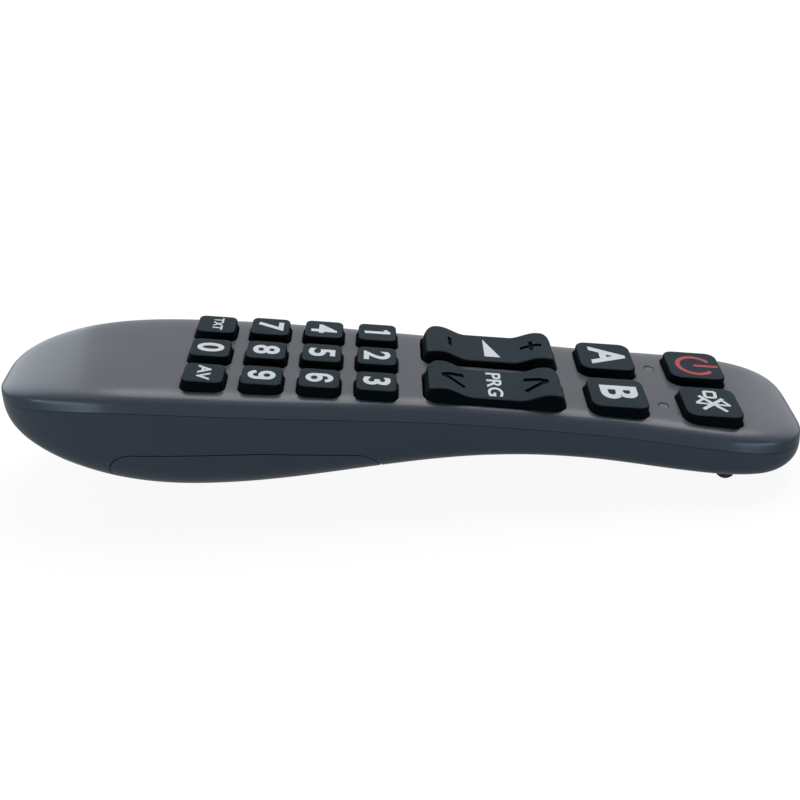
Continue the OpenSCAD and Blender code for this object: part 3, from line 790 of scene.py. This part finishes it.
def make_bay():
    """The shelf over the cells, with its ribs, cradles and the catch of the latch."""
    bay = Build()
    ys = np.linspace(SHELF_REAR, SHELF_FRONT, 40)
    edge = []
    for y in ys:
        angle = angle_at(y, BITE, -1, SHELF_LOW)
        edge.append(float(section(y, BITE, -1, np.array([angle]))[0, 0]))
    near = [(x, y, SHELF_LOW) for x, y in zip(edge, ys)]
    far = [(-x, y, z) for x, y, z in near[::-1]]
    bay.prism(near + far, (0, 0, SHELF_TOP - SHELF_LOW))
    for side in (-1, 1):
        x = side * (BAY_W + RIB / 2)
        low = (x - RIB / 2, BAY_REAR - RIB, CELL_Z - SIDE_RIB_DROP)
        bay.box(low, (x + RIB / 2, BAY_FRONT + RIB, RIB_TOP))
    bay.box((-CATCH_W, CATCH_Y - RIB, LATCH_Z - CATCH_DROP), (CATCH_W, CATCH_Y, RIB_TOP))
    for y in (BAY_REAR - RIB, BAY_FRONT):
        bay.box((-END_RIB_W, y, CELL_Z - END_RIB_DROP), (END_RIB_W, y + RIB, RIB_TOP))
    r = CELL_D / 2 + CELL_CLEAR
    start = math.asin(CRADLE_RISE / r)
    low = CELL_Z + CRADLE_RISE
    for y in cradle_places():
        outline = [(BAY_W, y, low), (BAY_W, y, RIB_TOP), (-BAY_W, y, RIB_TOP), (-BAY_W, y, low)]
        for x in (-CELL_X, CELL_X):
            for a in np.linspace(math.pi - start, start, 17):
                outline.append((x + r * math.cos(a), y, CELL_Z + r * math.sin(a)))
        bay.prism(outline, (0, RIB, 0))
    bay = bay.object("battery_bay")
    soften(bay, 0.15)
    smooth(bay)
    dress(bay, "case", case_mat, "bottom_case")


def make_lip():
    """The lip inside the case that stands up behind the parting line."""
    stations = -(HALF - WALL) * np.cos(np.linspace(0, math.pi, 121)) * LIP_SHARE
    loops = []
    for t in (LIP_OUTER, LIP_INNER):
        x = half_w(np.clip(stations, -(HALF - t) * TIP, (HALF - t) * TIP), t)
        y = stations * (HALF - t) / (HALF - WALL)
        loop = np.concatenate([np.stack([x, y], 1), np.stack([-x, y], 1)[::-1]])
        loops.append(np.column_stack([loop, part_z(loop[:, 1])]))
    low, high = np.array([0, 0, -LIP_DROP]), np.array([0, 0, LIP_RISE])
    rings = [loops[0] + low, loops[0] + high, loops[1] + high, loops[1] + low]
    n = len(rings[0])
    faces = []
    for j in range(4):
        here, after = j * n, (j + 1) % 4 * n
        for i in range(n):
            k = (i + 1) % n
            faces.append((here + i, here + k, after + k, after + i))
    lip = make_object("case_lip", np.concatenate(rings), faces)
    smooth(lip)
    dress(lip, "case", case_mat, "bottom_case")


def make_door():
    stations = door_stations(DOOR_GAP)
    grids = []
    for t in (0, WALL):
        edges = [seam_angle(y, t, DOOR_GAP) for y in stations]
        turns = [np.linspace(a, math.pi - a, DOOR_STEPS + 1) for a in edges]
        grids.append(np.array([section(y, t, -1, turn) for y, turn in zip(stations, turns)]))
    rows, cols = grids[0].shape[:2]
    faces = two_skins(rows, cols)
    for i in (0, rows - 1):
        faces += wall([i * cols + k for k in range(cols)], rows * cols)
    door = make_object("door_shell", np.concatenate([g.reshape(-1, 3) for g in grids]), faces)
    smooth(door, 34)
    dress(door, "door", case_mat, "battery_door")


def make_fittings():
    """The door's hinge barrel, hook tongues, ribs and latch. The barrel is HINGE_LIFT higher than
    in the part's source, where its ends come through the door's skin."""
    fittings = Build()
    slim, short = HINGE_R - HINGE_CHAMFER, HINGE_W - HINGE_CHAMFER
    profile = ((slim, -HINGE_W), (HINGE_R, -short), (HINGE_R, short), (slim, HINGE_W))
    fittings.rings([circle(r, 28, "x") + np.array([x, HINGE_Y, HINGE_Z + HINGE_LIFT]) for r, x in profile])
    tip = DOOR_FRONT + TONGUE_REACH
    tongue_z = float(low_z(tip)) + WALL + TONGUE_CLEAR
    for x in (-TONGUE_X, TONGUE_X):
        left, right = x - TONGUE_W, x + TONGUE_W
        fittings.box((left, TONGUE_REAR, tongue_z), (right, tip, tongue_z + TONGUE_T))
        fittings.box((left, TONGUE_REAR, HINGE_Z), (right, TONGUE_FRONT, tongue_z + TONGUE_LAP))
    for y in cradle_places():
        z = max(float(under_z(y)), float(under_z(y + RIB))) + BITE
        fittings.box((-DOOR_RIB_W, y, z), (DOOR_RIB_W, y + RIB, DOOR_RIB_TOP))
    foot = float(under_z(LATCH_Y)) + BITE
    fittings.box((-LATCH_W, LATCH_Y, foot), (LATCH_W, LATCH_Y + LATCH_T, LATCH_Z))
    fittings.box((-LATCH_W, LATCH_Y - HOOK, LATCH_Z - HOOK_H), (LATCH_W, LATCH_Y + HOOK, LATCH_Z))
    fittings = fittings.object("door_fittings")
    soften(fittings, 0.12)
    smooth(fittings)
    dress(fittings, "door", case_mat, "battery_door")


# Keys


def key_rings(x, v, w, l, r, top_at, fillet, long=4):
    """Rings of a key, from its foot up its drafted side, over a rounded edge and in to its middle."""
    base = deck_w(v)
    rings = []

    def ring(inset, height):
        points = rounded(w - 2 * inset, l - 2 * inset, r - inset, long)
        lift = height(points[:, 1]) if callable(height) else np.full(len(points), height)
        rings.append(on_deck(np.column_stack([points + np.array([x, v]), lift])))

    for inset, height in ((0.15, KEY_FOOT), (0.05, KEY_FOOT + 0.15), (0.0, base - 0.8), (0.0, base + 0.1)):
        ring(inset, height)
    for a in np.radians(np.linspace(0, 90, 8)):
        inset = KEY_DRAFT + fillet * (1 - math.cos(a))
        drop = fillet * (1 - math.sin(a))
        ring(inset, lambda s, d=drop: base + top_at(s) - d)
    start, limit = KEY_DRAFT + fillet, w / 2 - KEY_RIDGE
    for share in (0.25, 0.5, 0.75, 1.0):
        ring(start + (limit - start) * share, lambda s: base + top_at(s))
    return rings


def flat_top(h):
    return lambda s: np.full(len(s), h)


def rocker_top(s):
    a = np.abs(s)
    e = np.maximum(0, a - ROCKER_L / 2 + ROCKER_ROUND)
    rounding = ROCKER_ROUND - np.sqrt(np.maximum(0, ROCKER_ROUND**2 - e**2))
    return ROCKER_H - ROCKER_DIP * (1 - blend(ROCKER_FLAT, ROCKER_CREST, a)) - rounding


def shade_key_sides(key):
    """Paints shade on a key: where its top edge turns down, its sides take a far darker copy of the
    rubber, a painted shade.
    """
    key.data.materials.append(shaded_side_mat)
    shaded_slot = len(key.data.materials) - 1
    for face in key.data.polygons:
        if face.material_index == 0 and face.normal.z < SHADE_BELOW_NORMAL_Z:
            face.material_index = shaded_slot


def push_key(name, x, v, size):
    build = Build()
    build.rings(key_rings(x, v, size["w"], size["l"], size["r"], flat_top(size["h"]), KEY_FILLET))
    key = build.object("cap_" + name)
    smooth(key, 50)
    dress(key, "press_" + name, rubber_mat, "key_" + name)
    shade_key_sides(key)


def groove(cut, path, width, x, v):
    """Adds to cut a stroke along path, the (x, s) points of its two ends on a rocker's top."""
    start, end = np.asarray(path, float)
    line = start + (end - start) * np.linspace(0, 1, 13)[:, None]
    across = np.array([-(end - start)[1], (end - start)[0]])
    across *= width / 2 / np.linalg.norm(across)
    rings = []
    base = deck_w(v)
    for p in line:
        left, right = p + across, p - across
        low = base + rocker_top(np.array([left[1], right[1]])) - GROOVE_DEPTH
        corners = [(*left, low[0]), (*right, low[1]), (*right, low[1] + 3), (*left, low[0] + 3)]
        rings.append(on_deck(np.array(corners) + np.array([x, v, 0])))
    cut.rings(rings)


def rocker_key(name, side, strokes):
    x = side * LARGE_X
    build = Build()
    size = (LARGE["w"], ROCKER_L, LARGE["r"])
    rings = key_rings(x, ROCKER_ROW, *size, rocker_top, ROCKER_FILLET, ROCKER_STEPS)
    build.rings(rings, halves_of(ROCKER_STEPS))
    key = build.object("cap_" + name)
    key.data.materials.append(rubber_mat)
    for stroke in strokes:
        cut = Build()
        width = GROOVE_ACROSS if stroke[0][1] == stroke[1][1] else GROOVE_ALONG
        groove(cut, stroke, width, x, ROCKER_ROW)
        cutter = cut.object("groove")
        # The groove's cut faces take this painted shade
        cutter.data.materials.append(groove_shade_mat)
        carve(key, cutter)
    shade_key_sides(key)
    smooth(key, 40)
    weigh(key)
    finish_piece(key, "rock_" + name, "rocker_" + name)


# Printed legends

PRINT, STROKE_LIFT = 0.03, 0.003
# Height, stretch and shift to the front of the number keys' lettering
DIGIT = (6.9, 1.04, 0)
WORDS = {"txt": (2.6, 0.97, 0.3), "av": (3.4, 1.18, 0)}
WORD_WEIGHT, LETTER_WEIGHT = 0.028, 0.03
LETTER_H, LETTER_SHIFT = 9.6, {"a": 0.6, "b": 0.45}


def text_outline(words, weight):
    """Points and faces of a line of lettering, centred, one unit high."""
    curve = bpy.data.curves.new("words", "FONT")
    curve.body = words
    curve.offset = weight
    curve.resolution_u = 6
    obj = bpy.data.objects.new("words", curve)
    bpy.context.collection.objects.link(obj)
    graph = bpy.context.evaluated_depsgraph_get()
    mesh = bpy.data.meshes.new_from_object(obj.evaluated_get(graph))
    points = np.array([v.co[:2] for v in mesh.vertices])
    faces = [tuple(p.vertices) for p in mesh.polygons]
    bpy.data.objects.remove(obj)
    low, high = points.min(0), points.max(0)
    return (points - (low + high) / 2) / (high - low)[1], faces


def print_on(name, points, faces, place, body, ink="legend_white"):
    """A thin print of (x, v) points about place, an (x, v, w) on a key's top in the deck frame."""
    x, v, w = place
    flat = np.column_stack([points[:, :2] + np.array([x, v]), w + points[:, 2:].sum(1)])
    lift = np.array([0, 0, PRINT])
    n = len(points)
    rim = {(a, b) for f in faces for a, b in zip(f, f[1:] + f[:1])}
    sides = [(a, b, n + b, n + a) for a, b in sorted(rim) if (b, a) not in rim]
    upper = [tuple(n + i for i in f) for f in faces]
    lower = [f[::-1] for f in faces]
    build = Build()
    build.add(np.concatenate([on_deck(flat - lift), on_deck(flat + lift)]), lower + upper + sides)
    dress(build.object(name), body, inks[ink])


def word(name, words, height, place, body, wide=1.0, weight=0.02):
    points, faces = text_outline(words, weight)
    print_on(name, points * np.array([height * wide, height]), faces, place, body)


def band(path, width):
    """A stroke of even width along (x, y) points."""
    path = np.asarray(path, float)
    step = np.gradient(path, axis=0)
    side = np.stack([-step[:, 1], step[:, 0]], 1)
    side *= width / 2 / np.linalg.norm(side, axis=1)[:, None]
    n = len(path)
    faces = [(i, n + i, n + i + 1, i + 1) for i in range(n - 1)]
    return np.concatenate([path + side, path - side]), faces


def join(parts):
    """Several strokes as one print, each a hair above the one before, since strokes cross."""
    points, faces = [], []
    for step, (p, f) in enumerate(parts):
        start = sum(len(q) for q in points)
        points.append(np.column_stack([p, np.full(len(p), STROKE_LIFT * step)]))
        faces += [tuple(start + i for i in face) for face in f]
    return np.concatenate(points), faces


def arc(middle, radii, start, end, count=24):
    a = np.radians(np.linspace(start, end, count))
    return np.asarray(middle) + np.asarray(radii) * np.stack([np.cos(a), np.sin(a)], 1)


def drawn_digit(name):
    """The digits whose strokes are drawn here: 1 with a short flag, 6 and 9 with a curled tail."""
    if name == "1":
        return join([band([(0.35, -3.45), (0.35, 3.45)], 1.35), band([(0.5, 3.2), (-1.2, 1.9)], 1.0)])
    tail = np.concatenate([arc((0, 1.2), (1.55, 1.65), 8, 180), [(-1.55, 0), (-1.55, -1.25)]])
    points, faces = join([band(tail, 1.3), band(arc((0, -1.3), (1.55, 1.5), 180, 540, 48), 1.3)])
    return points * ((1, 1, 1) if name == "6" else (-1, -1, 1)), faces


def make_keys():
    rows = (("1", "2", "3"), ("4", "5", "6"), ("7", "8", "9"), ("txt", "0", "av"))
    for row, names in enumerate(rows):
        v = FIRST_ROW - row * ROW
        w = deck_w(v) + NUMBER["h"]
        for col, name in zip((-1, 0, 1), names):
            x = col * COLUMN
            push_key(name, x, v, NUMBER)
            if name in "169":
                print_on("legend_" + name, *drawn_digit(name), (x, v, w), "press_" + name)
            else:
                height, wide, ahead = WORDS.get(name, DIGIT)
                place = (x, v + ahead, w)
                word("legend_" + name, name.upper(), height, place, "press_" + name, wide, WORD_WEIGHT)
    for v, names in ((LETTER_ROW, ("a", "b")), (POWER_ROW, ("power", "mute"))):
        for side, name in zip((-1, 1), names):
            push_key(name, side * LARGE_X, v, LARGE)
    w = deck_w(LETTER_ROW) + LARGE["h"]
    for side, name in ((-1, "a"), (1, "b")):
        place = (side * LARGE_X, LETTER_ROW + LETTER_SHIFT[name], w)
        word("legend_" + name, name.upper(), LETTER_H, place, "press_" + name, 1.0, LETTER_WEIGHT)

    w = deck_w(POWER_ROW) + LARGE["h"]
    ring = arc((0.4, 0.2), (4.65, 4.65), 120, 411, 60)
    power = join([band(ring, 1.2), band([(0.4, -0.1), (0.4, 6.5)], 1.1)])
    print_on("legend_power", *power, (-LARGE_X, POWER_ROW, w), "press_power", "legend_red")

    box = [(-5.2, -0.75), (-5.2, 2.05), (-2.15, 1.7), (-2.15, -0.95)]
    strokes = [band([p, q], 0.9) for p, q in zip(box, box[1:] + box[:1])]
    strokes += [band([(-1.6, -1.45), (1.0, -3.9)], 0.8), band([(-0.65, 3.15), (1.55, 4.55)], 0.8)]
    strokes += [band([(1.05, -4.1), (1.6, 4.7)], 0.75)]
    strokes += [band([(-1.7, 3.4), (4.1, -2.8)], 1.05), band([(-2.7, -2.65), (4.7, 3.15)], 1.0)]
    print_on("legend_mute", *join(strokes), (LARGE_X, POWER_ROW, w), "press_mute")


def make_rockers():
    near, tip, foot = 10.6, 13.5, 7.7
    plus = near + 0.6
    minus_sign = [[(-2.25, -near), (2.25, -near)]]
    plus_sign = [[(-2.5, plus), (2.5, plus)], [(0, plus - 2.8), (0, plus + 2.8)]]
    rocker_key("volume", -1, minus_sign + plus_sign)
    ends = [(end, side) for end in (-1, 1) for side in (-1, 1)]
    rocker_key("program", 1, [[(0, end * tip), (side * 3.0, end * foot)] for end, side in ends])
    w = deck_w(ROCKER_ROW) + ROCKER_H - ROCKER_DIP
    wedge = np.array([(-4.9, -2.1), (4.8, -2.1), (4.8, 2.1)])
    print_on("legend_volume", wedge, [(0, 1, 2)], (-LARGE_X, ROCKER_ROW + 0.7, w), "rock_volume")
    word("legend_program", "PRG", 3.9, (LARGE_X, ROCKER_ROW, w), "rock_program", 1.3)


def dress_frame():
    """Gives every CAD node the finish of its slot in the record."""
    for part in frame["record"]["subparts"]:
        materials = frame["nodes"][part["node"]].data.materials
        materials.clear()
        materials.append(finishes[part["material_slot"]])


# Stage

FLOOR, FLOOR_Z, FLOOR_MATT = 3000, -0.05, 0.12
FLOOR_SEEN, FLOOR_MIRRORED = 0.93, 0.3
AMBIENT, AMBIENT_STRENGTH = (0.36, 0.8, 1.15, 1), 0.055


def seen_rays(tree, strength, mirrored):
    """`strength` for camera and transmission rays, `mirrored` for glossy ones, and 0 for the light
    on matt surfaces."""
    path = tree.nodes.new("ShaderNodeLightPath")
    total = 0.0
    for ray, level in (("Camera", strength), ("Transmission", strength), ("Glossy", mirrored)):
        seen = calc(tree, "MULTIPLY", path.outputs["Is " + ray + " Ray"], level)
        total = calc(tree, "MAXIMUM", seen, total)
    return total


def floor_material():
    """White to the eye, and matt enough to keep the object's shadow."""
    mat = bpy.data.materials.new("floor")
    mat.use_nodes = True
    tree = mat.node_tree
    tree.nodes.clear()
    out = tree.nodes.new("ShaderNodeOutputMaterial")
    add = tree.nodes.new("ShaderNodeAddShader")
    matt = tree.nodes.new("ShaderNodeBsdfDiffuse")
    matt.inputs["Color"].default_value = (FLOOR_MATT, FLOOR_MATT, FLOOR_MATT, 1)
    glow = tree.nodes.new("ShaderNodeEmission")
    tree.links.new(seen_rays(tree, FLOOR_SEEN, FLOOR_MIRRORED), glow.inputs["Strength"])
    tree.links.new(matt.outputs[0], add.inputs[0])
    tree.links.new(glow.outputs[0], add.inputs[1])
    tree.links.new(add.outputs[0], out.inputs["Surface"])
    return mat


def make_stage():
    corners = [(x * FLOOR, y * FLOOR, FLOOR_Z) for x, y in ((-1, -1), (1, -1), (1, 1), (-1, 1))]
    floor = make_object("floor", corners, [(0, 1, 2, 3)])
    floor.data.materials.append(floor_material())

    world = bpy.data.worlds.new("studio")
    bpy.context.scene.world = world
    world.use_nodes = True
    tree = world.node_tree
    tree.nodes.clear()
    out = tree.nodes.new("ShaderNodeOutputWorld")
    ambient = tree.nodes.new("ShaderNodeBackground")
    ambient.inputs["Color"].default_value = AMBIENT
    ambient.inputs["Strength"].default_value = AMBIENT_STRENGTH
    white = tree.nodes.new("ShaderNodeBackground")
    white.inputs["Color"].default_value = (1, 1, 1, 1)
    pick = tree.nodes.new("ShaderNodeMixShader")
    tree.links.new(seen_rays(tree, 1.0, 1.0), pick.inputs[0])
    tree.links.new(ambient.outputs[0], pick.inputs[1])
    tree.links.new(white.outputs[0], pick.inputs[2])
    tree.links.new(pick.outputs[0], out.inputs["Surface"])


def lamp(name, place, target, size, power, colour=(1, 1, 1)):
    """A soft panel at place that faces target. size = its extent square to the case's length, then
    the other way."""
    data = bpy.data.lights.new(name, "AREA")
    data.shape = "RECTANGLE"
    data.size, data.size_y = (s * MM for s in size)
    data.energy = power
    data.color = colour
    obj = bpy.data.objects.new(name, data)
    bpy.context.collection.objects.link(obj)
    place, target = np.array(place, float), np.array(target, float)
    z = (place - target) / np.linalg.norm(place - target)
    x = np.cross((0, 1, 0), z)
    x /= np.linalg.norm(x)
    turn = Matrix(np.stack([x, np.cross(z, x), z], 1).tolist()).to_4x4()
    obj.matrix_world = Matrix.Translation(place * MM) @ turn


def make_lamps():
    cool, pale = (0.6, 0.82, 1.0), (0.78, 0.89, 1.0)
    lamp("overhead", (-420, 100, 640), (0, 0, 20), (450, 800), 5.1)
    lamp("rear_kicker", (-330, -480, 150), (0, -85, 22), (600, 600), 1.5, pale)
    lamp("front_kicker", (-330, 480, 150), (0, 90, 12), (420, 420), 0.3, pale)
    lamp("left_panel", (402, -495, 75), (0, -85, 22), (60, 400), 0.9, cool)
    lamp("right_panel", (436, 465, 65), (0, 88, 14), (60, 360), 0.75, cool)


def make_camera():
    """The photograph's camera, solved from the grid of number keys."""
    focal = 1171.0
    rise, yaw, roll = (math.radians(a) for a in (30.144, -0.061, -1.272))
    place = np.array([268.25, -0.66, 172.37])
    ahead = np.array([-math.cos(rise) * math.cos(yaw), math.cos(rise) * math.sin(yaw), -math.sin(rise)])
    right = np.cross(ahead, (0, 0, 1))
    right /= np.linalg.norm(right)
    up = np.cross(right, ahead)
    across = right * math.cos(roll) + up * math.sin(roll)
    upward = up * math.cos(roll) - right * math.sin(roll)
    data = bpy.data.cameras.new("camera")
    data.sensor_width = 36
    data.lens = focal * data.sensor_width / PHOTO
    data.clip_start = 0.01
    obj = bpy.data.objects.new("camera", data)
    bpy.context.collection.objects.link(obj)
    turn = Matrix(np.stack([across, upward, -ahead], 1).tolist()).to_4x4()
    obj.matrix_world = Matrix.Translation(place * MM) @ turn
    bpy.context.scene.camera = obj


dress_frame()
make_top()
make_bottom()
make_bay()
make_lip()
make_door()
make_fittings()
make_keys()
make_rockers()
make_stage()
make_lamps()
make_camera()
bpy.context.scene.view_settings.view_transform = "Standard"
